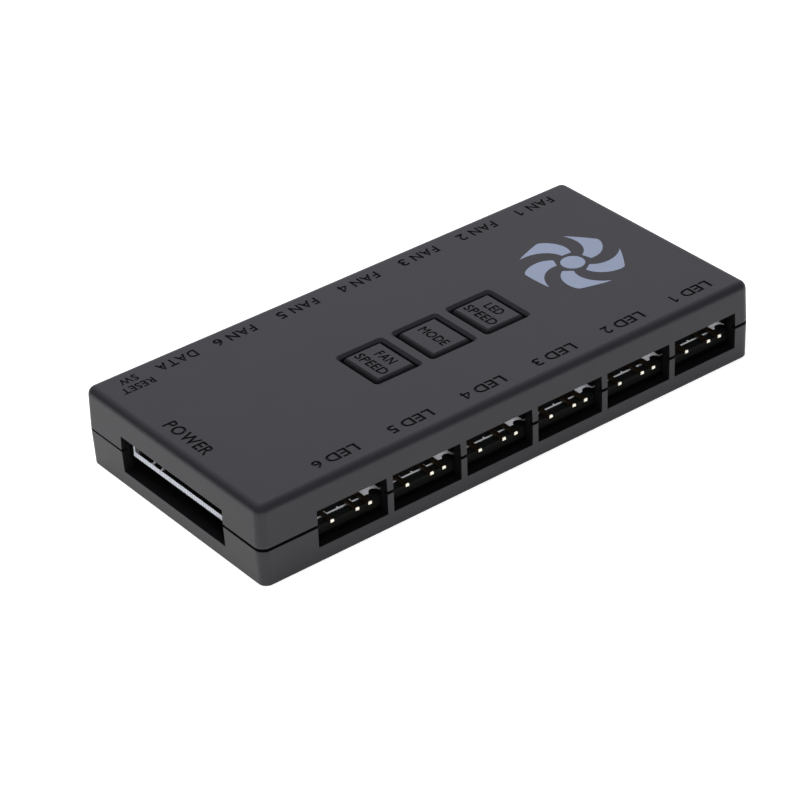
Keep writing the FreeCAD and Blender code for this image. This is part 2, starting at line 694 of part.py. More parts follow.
def make_board_parts():
    """The controller, a driver transistor for each fan port and the smoothing capacitor."""
    chip_low = "board_top + lead_thickness"
    chip = box("controller_chip", (f"{CHIP_X} - chip_length / 2", "-chip_width / 2", chip_low),
               ("chip_length", "chip_width", "chip_height - lead_thickness"))
    node(chip, "controller_chip")
    leads = []
    for index in range(CHIP_LEADS):
        x = f"{CHIP_X} + ({index} - {CHIP_LEADS - 1} / 2) * lead_pitch - lead_width / 2"
        near, far = "-chip_width / 2 - lead_reach", "chip_width / 2 - lead_reach / 2"
        for side, y in (("near", near), ("far", far)):
            leads.append(box(f"lead_{side}_{index}", (x, y, "board_top"),
                             ("lead_width", "1.5 * lead_reach", "lead_thickness")))
    node(group("controller_leads", leads), "controller_leads")
    drivers = []
    for port in range(FAN_PORTS):
        x = f"{FAN_FIRST} + {port} * fan_pitch - driver_offset - driver_length / 2"
        drivers.append(box(f"driver_{port}", (x, "driver_y - driver_width / 2", "board_top"),
                           ("driver_length", "driver_width", "driver_height")))
    node(group("fan_drivers", drivers), "fan_drivers")
    can = upright("smoothing_capacitor", (CAPACITOR_X, "capacitor_y", "board_top"),
                  "capacitor_diameter", "capacitor_height")
    node(can, "smoothing_capacitor")


make_lower_shell()
make_upper_shell()
make_board()
make_connectors()
make_power_inlet()
for place, name in enumerate(BUTTONS):
    make_button(name, place)
make_screws()
make_board_parts()
doc.recompute()

for thing in doc.Objects:
    if "Invalid" in thing.State or "Error" in thing.State:
        raise RuntimeError(f"{thing.Label} did not compute")
os.makedirs("parts", exist_ok=True)
for piece in nodes:
    if piece.Shape.isNull() or not piece.Shape.isValid():
        raise RuntimeError(f"{piece.Label} has no valid shape")
    piece.Shape.exportStep(f"parts/{piece.Label}.step")
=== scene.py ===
"""The fan hub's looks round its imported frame: metres, +Z up, origin under the middle of the case."""
import math

import bmesh
import bpy
from mathutils import Matrix, Vector


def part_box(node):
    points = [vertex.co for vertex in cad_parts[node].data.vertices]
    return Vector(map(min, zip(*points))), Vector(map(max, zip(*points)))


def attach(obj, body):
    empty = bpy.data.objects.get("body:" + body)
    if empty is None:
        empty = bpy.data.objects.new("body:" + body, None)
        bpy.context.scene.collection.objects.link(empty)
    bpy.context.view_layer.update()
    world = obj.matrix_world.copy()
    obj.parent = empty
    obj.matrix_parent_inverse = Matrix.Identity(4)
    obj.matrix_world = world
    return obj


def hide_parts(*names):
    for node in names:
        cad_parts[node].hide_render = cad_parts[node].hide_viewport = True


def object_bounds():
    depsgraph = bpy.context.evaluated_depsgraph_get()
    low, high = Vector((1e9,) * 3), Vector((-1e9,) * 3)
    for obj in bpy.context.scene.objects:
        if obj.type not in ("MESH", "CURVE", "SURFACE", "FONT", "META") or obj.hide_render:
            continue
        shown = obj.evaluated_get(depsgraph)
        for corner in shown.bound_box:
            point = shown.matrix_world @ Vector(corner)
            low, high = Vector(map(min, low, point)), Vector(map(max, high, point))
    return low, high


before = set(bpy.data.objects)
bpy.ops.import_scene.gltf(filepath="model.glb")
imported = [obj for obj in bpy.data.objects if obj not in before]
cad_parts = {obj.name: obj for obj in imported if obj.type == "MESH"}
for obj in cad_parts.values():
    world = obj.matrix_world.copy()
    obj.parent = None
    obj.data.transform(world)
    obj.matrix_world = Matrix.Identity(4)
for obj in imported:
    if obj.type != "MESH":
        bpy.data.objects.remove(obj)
cad_box = [list(corner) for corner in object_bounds()]

# Lower shell
# A moulded ABS tray with a lip round its rim and a rib between every two ports. Its outside has the
# fine grain of a spark-eroded mould, and every edge has the small radius that the mould leaves.

MILLIMETRE = 0.001
SHELL_COLOUR = (0.0122, 0.0115, 0.0148, 1.0)
SHELL_EDGE = 0.19 * MILLIMETRE
MOTTLE_SCALE = 70.0
GRAIN_HEIGHT = 0.004 * MILLIMETRE
GRAIN_GLOSS_SWING = 0.16


def feed(tree, value, socket):
    """Give a socket a plain value, or join it to the socket of another node."""
    if isinstance(value, bpy.types.NodeSocket):
        tree.links.new(value, socket)
    else:
        socket.default_value = value


def calculate(tree, operation, *values, kind="ShaderNodeMath"):
    """One step of sums in a node tree, on sockets and plain values."""
    step = tree.nodes.new(kind)
    step.operation = operation
    for value, socket in zip(values, step.inputs):
        feed(tree, value, socket)
    return step.outputs[0]


def tinted(tree, colour, share):
    """A colour made darker or lighter by a share of itself."""
    tint = tree.nodes.new("ShaderNodeVectorMath")
    tint.operation = "SCALE"
    feed(tree, colour, tint.inputs[0])
    feed(tree, share, tint.inputs["Scale"])
    return tint.outputs[0]


def mixed(tree, kind, share, plain, other):
    """A mix of two colours or two values by a share."""
    mix = tree.nodes.new("ShaderNodeMix")
    mix.data_type = kind
    for name, value in (("Factor", share), ("A", plain), ("B", other)):
        feed(tree, value, mix.inputs[name])
    return mix.outputs["Result"]


def effect_group(name, takes, gives):
    """A shader group with named inputs and outputs, and the sockets inside it that they lead to."""
    tree = bpy.data.node_groups.new(name, "ShaderNodeTree")
    for way, sockets in (("INPUT", takes), ("OUTPUT", gives)):
        for socket, kind in sockets.items():
            tree.interface.new_socket(socket, in_out=way, socket_type=f"NodeSocket{kind}")
    source = tree.nodes.new("NodeGroupInput")
    result = tree.nodes.new("NodeGroupOutput")
    return tree, source.outputs, result.inputs


def grain_group():
    """The grain of a moulded face: slow mottling of the colour, a fine bump and an uneven gloss."""
    tree, takes, gives = effect_group(
        "moulded_grain",
        {"Colour": "Color", "Mottle": "Float", "Gloss": "Float", "Grain Scale": "Float",
         "Grain Height": "Float"},
        {"Colour": "Color", "Roughness": "Float", "Normal": "Vector"})
    place = tree.nodes.new("ShaderNodeTexCoord")
    slow = tree.nodes.new("ShaderNodeTexNoise")
    slow.inputs["Scale"].default_value = MOTTLE_SCALE
    slow.inputs["Detail"].default_value = 3.0
    fine = tree.nodes.new("ShaderNodeTexNoise")
    fine.inputs["Detail"].default_value = 2.0
    fine.inputs["Roughness"].default_value = 0.6
    feed(tree, takes["Grain Scale"], fine.inputs["Scale"])
    for noise in (slow, fine):
        feed(tree, place.outputs["Object"], noise.inputs["Vector"])
    centred = calculate(tree, "SUBTRACT", slow.outputs["Fac"], 0.5)
    swing = calculate(tree, "MULTIPLY_ADD", centred, takes["Mottle"], 1.0)
    feed(tree, tinted(tree, takes["Colour"], swing), gives["Colour"])
    lowest = calculate(tree, "SUBTRACT", takes["Gloss"], GRAIN_GLOSS_SWING / 2.0)
    gloss = calculate(tree, "MULTIPLY_ADD", fine.outputs["Fac"], GRAIN_GLOSS_SWING, lowest)
    feed(tree, gloss, gives["Roughness"])
    bump = tree.nodes.new("ShaderNodeBump")
    feed(tree, takes["Grain Height"], bump.inputs["Distance"])
    feed(tree, fine.outputs["Fac"], bump.inputs["Height"])
    feed(tree, bump.outputs["Normal"], gives["Normal"])
    return tree


moulded_grain = grain_group()
FEEDS = {"Colour": "Base Color", "Roughness": "Roughness", "Metallic": "Metallic",
         "Normal": "Normal"}


def new_finish(name, settings):
    """A material with some plain settings of its shader."""
    material = bpy.data.materials.new(name)
    material.use_nodes = True
    shader = material.node_tree.nodes["Principled BSDF"]
    for socket, value in settings.items():
        shader.inputs[socket].default_value = value
    return material


def add_effect(material, group, settings):
    """Lay a group over a finish; an input that has no setting takes what has fed the shader."""
    tree = material.node_tree
    shader = tree.nodes["Principled BSDF"]
    effect = tree.nodes.new("ShaderNodeGroup")
    effect.node_tree = group
    for socket in effect.inputs:
        if socket.name in settings:
            socket.default_value = settings[socket.name]
        else:
            feed(tree, shader.inputs[FEEDS[socket.name]].links[0].from_socket, socket)
    for socket in effect.outputs:
        feed(tree, socket, shader.inputs[FEEDS[socket.name]])
    return material


def moulded(name, colour, gloss, mottle=0.25, scale=5200.0, specular=0.5):
    """A moulded plastic: one colour under the grain of its mould."""
    return add_effect(new_finish(name, {"Specular IOR Level": specular}), moulded_grain,
                      {"Colour": colour, "Mottle": mottle, "Gloss": gloss, "Grain Scale": scale,
                       "Grain Height": GRAIN_HEIGHT})


SAME_POINT = 0.001 * MILLIMETRE
SLIVER = 0.002 * MILLIMETRE
FLAT_ANGLE = math.radians(0.4)
ROUNDED_ANGLE = math.radians(38)
CORNER_ANGLE = math.radians(50)


def bring_in(name, data):
    """A new object at the origin of the scene."""
    thing = bpy.data.objects.new(name, data)
    bpy.context.scene.collection.objects.link(thing)
    return thing


def settle(piece):
    """Turn what a piece's modifiers make into its plain mesh."""
    made = piece.evaluated_get(bpy.context.evaluated_depsgraph_get())
    piece.data = bpy.data.meshes.new_from_object(made)
    piece.modifiers.clear()
    return piece


def weld(piece):
    """Close up the hair-thin faces that rounding or cutting leaves."""
    work = bmesh.new()
    work.from_mesh(piece.data)
    bmesh.ops.remove_doubles(work, verts=work.verts, dist=SLIVER)
    bmesh.ops.dissolve_degenerate(work, edges=work.edges, dist=SLIVER)
    work.to_mesh(piece.data)
    work.free()
    return piece


def finished_copy(node, name, edge, reshape=None):
    """A node's solid as one closed mesh of large faces, with its sharp edges rounded off."""
    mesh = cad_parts[node].data.copy()
    mesh.name = name
    if "custom_normal" in mesh.attributes:
        mesh.attributes.remove(mesh.attributes["custom_normal"])
    work = bmesh.new()
    work.from_mesh(mesh)
    bmesh.ops.remove_doubles(work, verts=work.verts, dist=SAME_POINT)
    bmesh.ops.dissolve_limit(work, angle_limit=FLAT_ANGLE, verts=work.verts, edges=work.edges)
    if reshape:
        reshape(work)
    work.to_mesh(mesh)
    work.free()
    mesh.materials.clear()
    piece = bring_in(name, mesh)
    rounding = piece.modifiers.new("mould_radius", "BEVEL")
    rounding.width = edge
    rounding.segments = 2
    rounding.limit_method = "ANGLE"
    rounding.angle_limit = ROUNDED_ANGLE
    return weld(settle(piece))


def smooth(piece):
    """Shade the curves smooth, keep the corners and let the large faces set the normals."""
    piece.data.shade_smooth()
    piece.data.set_sharp_from_angle(angle=CORNER_ANGLE)
    even = piece.modifiers.new("face_normals", "WEIGHTED_NORMAL")
    even.keep_sharp = True
    return settle(piece)


# Painted shade: this near-black stands in for the shade that falls on the walls of the ports, the seam
# and the inside of the shells.
INSIDE_SHADE_COLOUR = (0.0035, 0.0033, 0.0038, 1.0)
INSIDE_ROUGHNESS = 0.8


def matt_group():
    """Painted shade in a port or gap: the colour turns near-black and matt between two depths inside a
    box.
    """
    tree, takes, gives = effect_group(
        "painted_inside_shade",
        {"Colour": "Color", "Roughness": "Float", "Low": "Vector", "High": "Vector",
         "Starts": "Float", "Full": "Float"},
        {"Colour": "Color", "Roughness": "Float"})
    place = tree.nodes.new("ShaderNodeTexCoord").outputs["Object"]
    over = calculate(tree, "SUBTRACT", place, takes["Low"], kind="ShaderNodeVectorMath")
    under = calculate(tree, "SUBTRACT", takes["High"], place, kind="ShaderNodeVectorMath")
    least = calculate(tree, "MINIMUM", over, under, kind="ShaderNodeVectorMath")
    split = tree.nodes.new("ShaderNodeSeparateXYZ")
    feed(tree, least, split.inputs["Vector"])
    sides = calculate(tree, "MINIMUM", split.outputs["X"], split.outputs["Y"])
    depth = calculate(tree, "MINIMUM", sides, split.outputs["Z"])
    inside = tree.nodes.new("ShaderNodeMapRange")
    inside.interpolation_type = "SMOOTHSTEP"
    for name, value in (("Value", depth), ("From Min", takes["Starts"]), ("From Max", takes["Full"])):
        feed(tree, value, inside.inputs[name])
    share = inside.outputs["Result"]
    feed(tree, mixed(tree, "RGBA", share, takes["Colour"], INSIDE_SHADE_COLOUR), gives["Colour"])
    feed(tree, mixed(tree, "FLOAT", share, takes["Roughness"], INSIDE_ROUGHNESS), gives["Roughness"])
    return tree


painted_inside_shade = matt_group()
PORT_FADE = (0.6 * MILLIMETRE, 0.8 * MILLIMETRE)
shell_plastic = moulded("shell_plastic", SHELL_COLOUR, gloss=0.4)
# Painted shade: past PORT_FADE in from the faces of the case's box, the shell's colour fades to
# near-black and matt.
add_effect(shell_plastic, painted_inside_shade,
           {"Low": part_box("lower_shell")[0], "High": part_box("upper_shell")[1],
            "Starts": PORT_FADE[0], "Full": PORT_FADE[1]})
# Painted shade: a near-black matt material for the walls of the ports and for the seam between the
# shells.
painted_port_shade = moulded("painted_port_shade", INSIDE_SHADE_COLOUR, gloss=INSIDE_ROUGHNESS, specular=0.2)
CASE_CORE = (50.7 * MILLIMETRE, 23.2 * MILLIMETRE)
PORT_REACH = 1.35 * MILLIMETRE
PORTS_LOW, PORTS_HIGH = 0.8 * MILLIMETRE, 13.3 * MILLIMETRE
TRAY_RIM, LID_RIM = 6.9 * MILLIMETRE, 7.2 * MILLIMETRE
RIM_TOLERANCE = 0.01 * MILLIMETRE
RIM_BAND = 0.08 * MILLIMETRE
SEAM_OPENING = 0.11 * MILLIMETRE


def past_core(x, y, core):
    """How far a point stands out from a core about the origin, along X and along Y."""
    return Vector((max(abs(x) - core[0], 0.0), max(abs(y) - core[1], 0.0)))


def seam_shift(y):
    """How far a rim stands back from the seam, which opens evenly from the fan to the LED side."""
    return SEAM_OPENING * (cad_box[1][1] - y) / (cad_box[1][1] - cad_box[0][1])


def blacken_inside(piece):
    """Paint shade on the walls of the ports, the seam and the inside of a shell with the near-black
    matt material.
    """
    piece.data.materials.append(painted_port_shade)
    for face in piece.data.polygons:
        x, y, z = face.center
        band = RIM_BAND + seam_shift(y)
        in_seam = TRAY_RIM - band < z < LID_RIM + band
        in_wall = past_core(x, y, CASE_CORE).length < PORT_REACH and PORTS_LOW < z < PORTS_HIGH
        if in_seam or in_wall:
            face.material_index = 1


def set_back_rim(work, rim, way):
    """Set the rim of a shell back from the seam, down for the tray or up for the lid."""
    for point in work.verts:
        if abs(point.co.z - rim) < RIM_TOLERANCE:
            point.co.z += way * seam_shift(point.co.y)


tray = finished_copy("lower_shell", "tray", SHELL_EDGE,
                     lambda work: set_back_rim(work, TRAY_RIM, -1.0))
tray.data.materials.append(shell_plastic)
blacken_inside(tray)
smooth(tray)
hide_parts("lower_shell")
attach(tray, "case")

# Case screws
# Two pan-head self-tapping steel screws with a cross recess, blackened by zinc plating. They sit in
# counterbores under the tray and draw the lid down from below.

LINE_SHADE = 0.35
LINE_TONES = (0.25, 0.7)
LINE_GLOSS_LESS, LINE_GLOSS_MORE = 0.08, 0.1


def drawn_group():
    """The fine lines of drawn or rolled metal: a slight change of tone and an uneven gloss."""
    tree, takes, gives = effect_group(
        "drawn_lines", {"Colour": "Color", "Gloss": "Float", "Scale": "Float", "Stretch": "Vector"},
        {"Colour": "Color", "Roughness": "Float"})
    place = tree.nodes.new("ShaderNodeTexCoord")
    turned = tree.nodes.new("ShaderNodeMapping")
    feed(tree, place.outputs["Object"], turned.inputs["Vector"])
    feed(tree, takes["Stretch"], turned.inputs["Scale"])
    lines = tree.nodes.new("ShaderNodeTexNoise")
    lines.inputs["Detail"].default_value = 3.0
    feed(tree, turned.outputs["Vector"], lines.inputs["Vector"])
    feed(tree, takes["Scale"], lines.inputs["Scale"])
    tone = tree.nodes.new("ShaderNodeMapRange")
    for name, value in (("Value", lines.outputs["Fac"]), ("From Min", LINE_TONES[0]),
                        ("From Max", LINE_TONES[1]), ("To Min", 1.0 - LINE_SHADE)):
        feed(tree, value, tone.inputs[name])
    feed(tree, tinted(tree, takes["Colour"], tone.outputs["Result"]), gives["Colour"])
    lowest = calculate(tree, "SUBTRACT", takes["Gloss"], LINE_GLOSS_LESS)
    gloss = calculate(tree, "MULTIPLY_ADD", lines.outputs["Fac"],
                      LINE_GLOSS_LESS + LINE_GLOSS_MORE, lowest)
    feed(tree, gloss, gives["Roughness"])
    return tree


drawn_lines = drawn_group()


def plated(name, colour, gloss, scale, stretch=(1.0, 1.0, 1.0)):
    """A plated metal over the lines of its drawing or rolling."""
    return add_effect(new_finish(name, {"Metallic": 1.0}), drawn_lines,
                      {"Colour": colour, "Gloss": gloss, "Scale": scale, "Stretch": stretch})


def dress(material, *names):
    """Give CAD nodes a finish."""
    for name in names:
        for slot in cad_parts[name].material_slots:
            slot.material = material


black_zinc = plated("black_zinc", (0.055, 0.055, 0.062, 1.0), gloss=0.36, scale=2400.0)
dress(black_zinc, "case_screws")

# Circuit board
# Glass-epoxy laminate under black solder mask; its cut edges are painted near-black for the shade
# inside the ports. White ink outlines each header, and a tinned pad with a painted black disc of shade
# for its plated hole stands between every two of them.

MASK_COLOUR = (0.010, 0.011, 0.011, 1.0)
EDGE_SHADE_COLOUR = (0.0045, 0.0043, 0.0040, 1.0)
TRACK_HEIGHT = 0.02 * MILLIMETRE
board_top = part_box("circuit_board")[1].z
board_mask = new_finish("board_mask", {"Specular IOR Level": 0.1})
tree = board_mask.node_tree
shader = tree.nodes["Principled BSDF"]
facing = tree.nodes.new("ShaderNodeNewGeometry")
split = tree.nodes.new("ShaderNodeSeparateXYZ")
feed(tree, facing.outputs["Normal"], split.inputs["Vector"])
upward = calculate(tree, "ABSOLUTE", split.outputs["Z"])
# Painted shade: upright faces, the board's cut edges, take the near-black edge colour.
feed(tree, mixed(tree, "RGBA", upward, EDGE_SHADE_COLOUR, MASK_COLOUR), shader.inputs["Base Color"])
place = tree.nodes.new("ShaderNodeTexCoord").outputs["Object"]
tracks = tree.nodes.new("ShaderNodeTexBrick")
tracks.inputs["Scale"].default_value = 260.0
tracks.inputs["Mortar Size"].default_value = 0.03
feed(tree, place, tracks.inputs["Vector"])
relief = tree.nodes.new("ShaderNodeBump")
relief.inputs["Distance"].default_value = TRACK_HEIGHT
feed(tree, tracks.outputs["Fac"], relief.inputs["Height"])
feed(tree, relief.outputs["Normal"], shader.inputs["Normal"])
weave = tree.nodes.new("ShaderNodeTexNoise")
weave.inputs["Scale"].default_value = 1500.0
feed(tree, place, weave.inputs["Vector"])
uneven = tree.nodes.new("ShaderNodeMapRange")
uneven.inputs["To Min"].default_value = 0.3
uneven.inputs["To Max"].default_value = 0.46
feed(tree, weave.outputs["Fac"], uneven.inputs["Value"])
feed(tree, uneven.outputs["Result"], shader.inputs["Roughness"])
dress(board_mask, "circuit_board")


def row_of_marks():
    """A row of copies of one mark at even steps, as one mesh of one finish."""
    tree = bpy.data.node_groups.new("row_of_marks", "GeometryNodeTree")
    tree.interface.new_socket("Mark", in_out="INPUT", socket_type="NodeSocketGeometry")
    keys = {}
    for name, kind in (("Count", "NodeSocketInt"), ("First", "NodeSocketVector"),
                       ("Step", "NodeSocketVector"), ("Finish", "NodeSocketMaterial")):
        keys[name] = tree.interface.new_socket(name, in_out="INPUT", socket_type=kind).identifier
    tree.interface.new_socket("Row", in_out="OUTPUT", socket_type="NodeSocketGeometry")
    source = tree.nodes.new("NodeGroupInput")
    result = tree.nodes.new("NodeGroupOutput")
    line = tree.nodes.new("GeometryNodeMeshLine")
    line.mode = "OFFSET"
    copies = tree.nodes.new("GeometryNodeInstanceOnPoints")
    real = tree.nodes.new("GeometryNodeRealizeInstances")
    finish = tree.nodes.new("GeometryNodeSetMaterial")
    feed(tree, source.outputs["Count"], line.inputs["Count"])
    feed(tree, source.outputs["First"], line.inputs["Start Location"])
    feed(tree, source.outputs["Step"], line.inputs["Offset"])
    feed(tree, line.outputs["Mesh"], copies.inputs["Points"])
    feed(tree, source.outputs["Mark"], copies.inputs["Instance"])
    feed(tree, copies.outputs["Instances"], real.inputs["Geometry"])
    feed(tree, real.outputs["Geometry"], finish.inputs["Geometry"])
    feed(tree, source.outputs["Finish"], finish.inputs["Material"])
    feed(tree, finish.outputs["Geometry"], result.inputs["Row"])
    return tree, keys


row_tree, row_keys = row_of_marks()
PORTS = range(1, 7)
LED_PITCH = 15.24 * MILLIMETRE
LED_FIRST_X = -34.36 * MILLIMETRE


def in_metres(outline):
    """An outline drawn in millimetres, in metres."""
    return [(x * MILLIMETRE, y * MILLIMETRE) for x, y in outline]


def add_form(work, panels, low, high):
    """Add one closed form: flat panels that share corners, drawn out from one height to another."""
    corners = {corner: work.verts.new((*corner, low)) for panel in panels for corner in panel}
    faces = [work.faces.new([corners[corner] for corner in panel]) for panel in panels]
    raised = bmesh.ops.extrude_face_region(work, geom=faces)["geom"]
    lifted = [part for part in raised if isinstance(part, bmesh.types.BMVert)]
    bmesh.ops.translate(work, verts=lifted, vec=(0.0, 0.0, high - low))


def plain_mesh(work, name):
    """Turn a mesh in the making into a plain mesh."""
    mesh = bpy.data.meshes.new(name)
    work.to_mesh(mesh)
    work.free()
    return mesh


def marks(name, outlines, thickness, material, height):
    """Flat marks of ink, tin or painted shade on the board from their outlines, one set for each LED
    port.
    """
    work = bmesh.new()
    for outline in outlines:
        add_form(work, [in_metres(outline)], 0.0, thickness)
    bmesh.ops.recalc_face_normals(work, faces=work.faces)
    piece = bring_in(name, plain_mesh(work, name))
    repeat = piece.modifiers.new("row", "NODES")
    repeat.node_group = row_tree
    repeat[row_keys["Count"]] = len(PORTS)
    repeat[row_keys["First"]] = Vector((LED_FIRST_X, 0.0, height))
    repeat[row_keys["Step"]] = Vector((LED_PITCH, 0.0, 0.0))
    repeat[row_keys["Finish"]] = material
    settle(piece)
    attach(piece, "case")


def bar(x0, y0, x1, y1):
    """The outline of a straight bar."""
    return [(x0, y0), (x1, y0), (x1, y1), (x0, y1)]


def disc(x, y, radius, count=20):
    """The outline of a round mark."""
    turns = [2.0 * math.pi * step / count for step in range(count)]
    return [(x + radius * math.cos(turn), y + radius * math.sin(turn)) for turn in turns]


INK_HEIGHT = 0.015 * MILLIMETRE
TIN_HEIGHT = 0.02 * MILLIMETRE
HOLE_SHADE_FILM = 0.01 * MILLIMETRE
HEADER_OUTLINE = [bar(-7.0, -20.8, 4.7, -20.4), bar(-2.4, -20.4, -2.05, -19.7),
                  bar(0.05, -20.4, 0.4, -20.1), bar(2.75, -20.4, 3.1, -19.7)]
GROUND_PAD = [bar(5.2, -20.55, 8.6, -18.7)]
HOLE_SHADE_DISC = [disc(7.35, -20.75, 0.95)]
ink_white = moulded("ink_white", (0.85, 0.86, 0.90, 1.0), gloss=0.55, mottle=0.3, scale=3000.0)
tin = moulded("tinned_pad", (0.93, 0.94, 1.0, 1.0), gloss=0.34, mottle=0.5, scale=900.0)
# Painted shade: a black disc on each pad stands in for the shade inside its plated hole.
painted_hole_shade = moulded("painted_hole_shade", (0.004, 0.004, 0.004, 1.0), gloss=0.6)
marks("header_outlines", HEADER_OUTLINE, INK_HEIGHT, ink_white, board_top)
marks("ground_pads", GROUND_PAD, TIN_HEIGHT, tin, board_top)
marks("hole_shade_discs", HOLE_SHADE_DISC, HOLE_SHADE_FILM, painted_hole_shade, board_top + TIN_HEIGHT)

# Parts on the board
# The controller and the fan drivers are black epoxy packages on tinned leads, the capacitor is a
# drawn aluminium can, and the three switches are black nylon with a plunger in each.

KEYS = ("fan_speed", "mode", "led_speed")
epoxy = moulded("package_epoxy", (0.014, 0.014, 0.015, 1.0), gloss=0.55, scale=4000.0)
dress(epoxy, "controller_chip", "fan_drivers")
tinned_leads = plated("tinned_leads", (0.66, 0.66, 0.64, 1.0), gloss=0.3, scale=1600.0)
dress(tinned_leads, "controller_leads")
can_aluminium = plated("can_aluminium", (0.72, 0.72, 0.74, 1.0), gloss=0.3, scale=700.0,
                       stretch=(1.0, 1.0, 6.0))
dress(can_aluminium, "smoothing_capacitor")
nylon = moulded("switch_nylon", (0.012, 0.012, 0.012, 1.0), gloss=0.5)
dress(nylon, *[f"{key}_switch" for key in KEYS], *[f"{key}_plunger" for key in KEYS])

# Pin headers
# Right-angle headers: square brass pins, plated, sheared to a point at the tip and bent down
# through the board, in blocks of black glass-filled nylon that are notched between the pins.

header_nylon = moulded("header_nylon", (0.0075, 0.0075, 0.008, 1.0), gloss=0.55, scale=3600.0,
                       specular=0.1)
headers = [f"{kind}_header_{port}" for kind in ("led", "fan") for port in PORTS]
dress(header_nylon, *headers, "data_header", "reset_header")
PIN_COLOUR = (0.050, 0.034, 0.020, 1.0)
TIP_HIGHLIGHT_COLOUR = (0.95, 0.90, 0.78, 1.0)
TIP_HIGHLIGHT_LENGTH = 0.14 * MILLIMETRE


def rubbed_group():
    """Painted highlight: pale, less metallic colour close to one or two places along Y, on the sheared
    tips of the pins and on two strips of the inlet.
    """
    tree, takes, gives = effect_group(
        "painted_highlight",
        {"Colour": "Color", "Bright": "Color", "Metal": "Float", "First": "Float",
         "Second": "Float", "Reach": "Float"},
        {"Colour": "Color", "Metallic": "Float"})
    place = tree.nodes.new("ShaderNodeTexCoord")
    split = tree.nodes.new("ShaderNodeSeparateXYZ")
    feed(tree, place.outputs["Object"], split.inputs["Vector"])
    near = [calculate(tree, "COMPARE", split.outputs["Y"], takes[spot], takes["Reach"])
            for spot in ("First", "Second")]
    highlighted = calculate(tree, "MAXIMUM", *near)
    feed(tree, mixed(tree, "RGBA", highlighted, takes["Colour"], takes["Bright"]), gives["Colour"])
    dull = calculate(tree, "SUBTRACT", takes["Metal"], highlighted)
    dull.node.use_clamp = True
    feed(tree, dull, gives["Metallic"])
    return tree


painted_highlight = rubbed_group()


def pin_brass(name, tip_y):
    """Plated brass, dark along the shank, with a painted highlight at the sheared tip."""
    brass = plated(name, PIN_COLOUR, gloss=0.3, scale=900.0, stretch=(6.0, 1.0, 6.0))
    return add_effect(brass, painted_highlight, {"Bright": TIP_HIGHLIGHT_COLOUR, "Metal": 0.7, "First": tip_y,
                                             "Second": tip_y, "Reach": TIP_HIGHLIGHT_LENGTH})


led_pin_brass = pin_brass("led_pin_brass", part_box("led_pins_1")[0].y)
fan_pin_brass = pin_brass("fan_pin_brass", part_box("fan_pins_1")[1].y)
dress(led_pin_brass, *[f"led_pins_{port}" for port in PORTS])
dress(fan_pin_brass, *[f"fan_pins_{port}" for port in PORTS])
for row in ("data_pins", "reset_pins"):
    dress(pin_brass(f"{row}_brass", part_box(row)[1].y), row)

# Power inlet
# A keyed blade moulded in black nylon on the edge of the board, with fifteen plated spring-brass
# strips along its upper face. A pale ridged band on the blade's front is a painted reflection, the
# strips are painted near-black for the shade over them, and two of them carry a painted highlight.

REFLECTION_DEPTH = 0.6 * MILLIMETRE
REFLECTION_EDGE = 0.1 * MILLIMETRE
KEY_EDGE = 0.5 * MILLIMETRE
BLADE_LOW, BLADE_HIGH = 6.1 * MILLIMETRE, 7.19 * MILLIMETRE
HIGHLIGHT_STRIPS = (7.62 * MILLIMETRE, 5.08 * MILLIMETRE)
HIGHLIGHT_REACH = 0.28 * MILLIMETRE
RIDGE_SCALE = 620.0
inlet_low, inlet_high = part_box("power_inlet")
inlet_nylon = moulded("inlet_nylon", (0.010, 0.010, 0.011, 1.0), gloss=0.45)
tree = inlet_nylon.node_tree
shader = tree.nodes["Principled BSDF"]
place = tree.nodes.new("ShaderNodeTexCoord").outputs["Object"]
split = tree.nodes.new("ShaderNodeSeparateXYZ")
feed(tree, place, split.inputs["Vector"])
depth, along, height = split.outputs["X"], split.outputs["Y"], split.outputs["Z"]
# Painted reflection: the front faces of the black blade, of its key and of the two bright strips take
# a pale ridged colour.
front_reflection = calculate(tree, "LESS_THAN", height, BLADE_HIGH)
at_key = calculate(tree, "GREATER_THAN", along, inlet_high.y - KEY_EDGE)
at_strips = [calculate(tree, "COMPARE", along, strip, HIGHLIGHT_REACH) for strip in HIGHLIGHT_STRIPS]
for test in (at_key, *at_strips):
    front_reflection = calculate(tree, "MAXIMUM", front_reflection, test)
at_front = calculate(tree, "LESS_THAN", depth, inlet_low.x + REFLECTION_DEPTH)
over_edge = calculate(tree, "GREATER_THAN", height, BLADE_LOW + REFLECTION_EDGE)
for test in (at_front, over_edge):
    front_reflection = calculate(tree, "MULTIPLY", front_reflection, test)
ridges = tree.nodes.new("ShaderNodeTexWave")
ridges.bands_direction = "Y"
ridges.inputs["Scale"].default_value = RIDGE_SCALE
feed(tree, place, ridges.inputs["Vector"])
pale = tree.nodes.new("ShaderNodeValToRGB")
pale.color_ramp.elements[0].color = (0.52, 0.56, 0.65, 1.0)
pale.color_ramp.elements[1].color = (0.92, 0.95, 1.0, 1.0)
feed(tree, ridges.outputs["Fac"], pale.inputs["Fac"])
black = shader.inputs["Base Color"].links[0].from_socket
feed(tree, mixed(tree, "RGBA", front_reflection, black, pale.outputs["Color"]), shader.inputs["Base Color"])
dress(inlet_nylon, "power_inlet")
